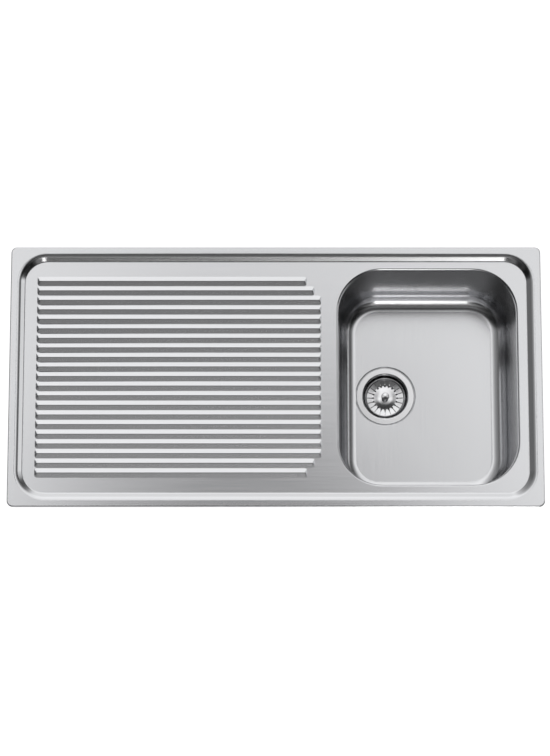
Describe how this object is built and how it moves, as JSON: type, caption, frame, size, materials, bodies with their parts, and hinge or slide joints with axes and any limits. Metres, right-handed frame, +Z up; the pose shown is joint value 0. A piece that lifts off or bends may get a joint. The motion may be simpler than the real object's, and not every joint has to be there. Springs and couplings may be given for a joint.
{
  "type": "kitchen sink with drainboard",
  "caption": "Inset stainless steel kitchen sink with a ribbed drainboard, a deep round-cornered bowl, a basket strainer waste and swing-out worktop clamps.",
  "frame": {"origin": "middle of the sink on the worktop surface, at the underside of the rim's sealing strip", "axes": "+X along the long side towards the bowl, +Y to the back, +Z up out of the worktop"},
  "size_m": [1, 0.5, 0.2446],
  "materials": {
    "stainless_sheet": "satin brushed",
    "polished_stainless": "bright polished",
    "stainless_studs": "rolled thread",
    "zinc_plated_steel": "zinc plated",
    "brass_insert": "turned",
    "white_plastic": "moulded polypropylene",
    "black_rubber": "moulded",
    "foam_strip": "closed-cell foam",
    "damping_pad": "bitumen sheet"
  },
  "bodies": {
    "sink": {"sink_top": "stainless_sheet", "bowl": "stainless_sheet", "rim_seal": "foam_strip", "drainer_sound_pad": "damping_pad", "bowl_sound_pad": "damping_pad", "earth_tag": "zinc_plated_steel", "earth_fasteners": "zinc_plated_steel", "waste_flange": "polished_stainless", "flange_seal": "black_rubber", "under_seal": "black_rubber", "waste_body": "white_plastic", "hub_insert": "brass_insert", "waste_screw": "polished_stainless", "clip_studs": "stainless_studs"},
    "basket": {"strainer_basket": "polished_stainless", "basket_knob": "polished_stainless", "basket_stem": "polished_stainless", "basket_seal": "black_rubber", "seal_washer": "polished_stainless"},
    "nut_1": {"clip_nut_1": "zinc_plated_steel"},
    "arm_1": {"clip_arm_1": "zinc_plated_steel"},
    "nut_2": {"clip_nut_2": "zinc_plated_steel"},
    "arm_2": {"clip_arm_2": "zinc_plated_steel"},
    "nut_3": {"clip_nut_3": "zinc_plated_steel"},
    "arm_3": {"clip_arm_3": "zinc_plated_steel"},
    "nut_4": {"clip_nut_4": "zinc_plated_steel"},
    "arm_4": {"clip_arm_4": "zinc_plated_steel"},
    "nut_5": {"clip_nut_5": "zinc_plated_steel"},
    "arm_5": {"clip_arm_5": "zinc_plated_steel"},
    "nut_6": {"clip_nut_6": "zinc_plated_steel"},
    "arm_6": {"clip_arm_6": "zinc_plated_steel"},
    "nut_7": {"clip_nut_7": "zinc_plated_steel"},
    "arm_7": {"clip_arm_7": "zinc_plated_steel"},
    "nut_8": {"clip_nut_8": "zinc_plated_steel"},
    "arm_8": {"clip_arm_8": "zinc_plated_steel"}
  },
  "joints": [
    {"name": "basket_lift", "type": "slide", "parent": "sink", "child": "basket", "axis": [0, 0, 1], "range_m": [0, 0.06]},
    {"name": "nut_travel_1", "type": "slide", "parent": "sink", "child": "nut_1", "axis": [0, 0, 1], "range_m": [0, 0.018]},
    {"name": "arm_swing_1", "type": "hinge", "parent": "nut_1", "child": "arm_1", "pos_m": [-0.38, 0.217, -0.053], "axis": [0, 0, 1], "range_deg": [0, 90]},
    {"name": "nut_travel_2", "type": "slide", "parent": "sink", "child": "nut_2", "axis": [0, 0, 1], "range_m": [0, 0.018]},
    {"name": "arm_swing_2", "type": "hinge", "parent": "nut_2", "child": "arm_2", "pos_m": [-0.1, 0.217, -0.053], "axis": [0, 0, 1], "range_deg": [0, 90]},
    {"name": "nut_travel_3", "type": "slide", "parent": "sink", "child": "nut_3", "axis": [0, 0, 1], "range_m": [0, 0.018]},
    {"name": "arm_swing_3", "type": "hinge", "parent": "nut_3", "child": "arm_3", "pos_m": [0.285, 0.217, -0.053], "axis": [0, 0, 1], "range_deg": [0, 90]},
    {"name": "nut_travel_4", "type": "slide", "parent": "sink", "child": "nut_4", "axis": [0, 0, 1], "range_m": [0, 0.018]},
    {"name": "arm_swing_4", "type": "hinge", "parent": "nut_4", "child": "arm_4", "pos_m": [-0.38, -0.217, -0.053], "axis": [0, 0, 1], "range_deg": [0, 90]},
    {"name": "nut_travel_5", "type": "slide", "parent": "sink", "child": "nut_5", "axis": [0, 0, 1], "range_m": [0, 0.018]},
    {"name": "arm_swing_5", "type": "hinge", "parent": "nut_5", "child": "arm_5", "pos_m": [-0.1, -0.217, -0.053], "axis": [0, 0, 1], "range_deg": [0, 90]},
    {"name": "nut_travel_6", "type": "slide", "parent": "sink", "child": "nut_6", "axis": [0, 0, 1], "range_m": [0, 0.018]},
    {"name": "arm_swing_6", "type": "hinge", "parent": "nut_6", "child": "arm_6", "pos_m": [0.285, -0.217, -0.053], "axis": [0, 0, 1], "range_deg": [0, 90]},
    {"name": "nut_travel_7", "type": "slide", "parent": "sink", "child": "nut_7", "axis": [0, 0, 1], "range_m": [0, 0.018]},
    {"name": "arm_swing_7", "type": "hinge", "parent": "nut_7", "child": "arm_7", "pos_m": [-0.467, 0, -0.053], "axis": [0, 0, 1], "range_deg": [0, 90]},
    {"name": "nut_travel_8", "type": "slide", "parent": "sink", "child": "nut_8", "axis": [0, 0, 1], "range_m": [0, 0.018]},
    {"name": "arm_swing_8", "type": "hinge", "parent": "nut_8", "child": "arm_8", "pos_m": [0.467, 0, -0.053], "axis": [0, 0, 1], "range_deg": [0, 90]}
  ]
}
